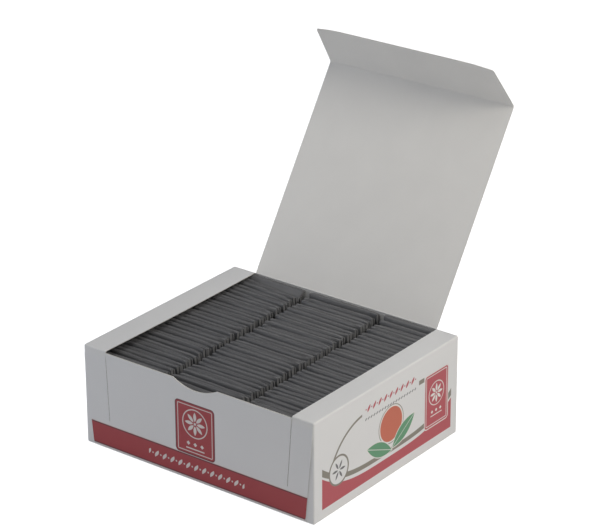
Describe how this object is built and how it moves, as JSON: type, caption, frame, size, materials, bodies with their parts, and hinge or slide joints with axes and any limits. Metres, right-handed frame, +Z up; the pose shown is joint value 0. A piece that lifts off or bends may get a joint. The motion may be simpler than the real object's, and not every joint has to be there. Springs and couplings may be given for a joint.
{
  "type": "open tea box",
  "caption": "Open tuck-top tea carton with a hinged lid and tuck flap, filled with rows of tea bags in grey paper envelopes.",
  "frame": {"origin": "centre of the carton's base, on the surface that it stands on", "axes": "+X to the right seen from the front, +Y from the notched front wall to the lid's hinge, +Z up"},
  "size_m": [0.2, 0.2592, 0.2478],
  "materials": {
    "board_outside": "satin",
    "board_inside": "matte",
    "envelope_paper": "matte"
  },
  "bodies": {
    "carton": {"tray": "board_outside", "bags_left": "envelope_paper", "bags_middle": "envelope_paper", "bags_right": "envelope_paper", "leaning_bag": "envelope_paper"},
    "lid": {"lid": "board_inside"},
    "flap": {"lid_flap": "board_inside"}
  },
  "joints": [
    {"name": "lid_hinge", "type": "hinge", "parent": "carton", "child": "lid", "pos_m": [0, 0.08375, 0.07575], "axis": [-1, 0, 0], "range_deg": [-123.4, 56.6]},
    {"name": "flap_crease", "type": "hinge", "parent": "lid", "child": "flap", "pos_m": [0, 0.1753, 0.21458], "axis": [-1, 0, 0], "range_deg": [-30.6, 14.1]}
  ],
  "couplings": [
    {"joint": "flap_crease", "follows": "lid_hinge", "ratio": 0.2472}
  ]
}
